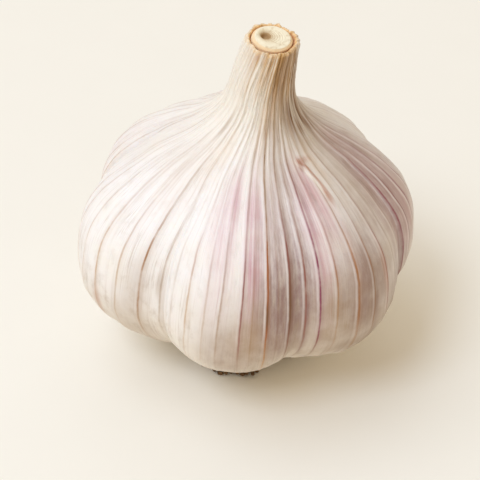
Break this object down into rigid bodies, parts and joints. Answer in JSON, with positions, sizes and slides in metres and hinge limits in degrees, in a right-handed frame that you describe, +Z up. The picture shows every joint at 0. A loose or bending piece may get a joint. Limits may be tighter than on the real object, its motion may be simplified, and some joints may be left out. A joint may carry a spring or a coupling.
{
  "type": "garlic bulb",
  "caption": "Dried garlic bulb in papery white and pink skin, cloves showing as lobes, with a trimmed neck and root plate.",
  "frame": {"origin": "middle of the flat underside of the root plate, which the bulb stands on", "axes": "+Z up through the bulb towards the neck, -Y the front, +X to the right seen from the front"},
  "size_m": [0.0581, 0.0591, 0.064],
  "materials": {
    "skin": "dry papery skin, white with pink and purple-brown veins, slightly silky",
    "stem": "cream cut stem end with rings, dry and matte",
    "roots": "brown corky root plate with trimmed dry roots, rough and matte"
  },
  "bodies": {
    "root": {"bulb": "skin", "cut_stem": "stem", "root_plate": "roots"}
  },
  "joints": []
}
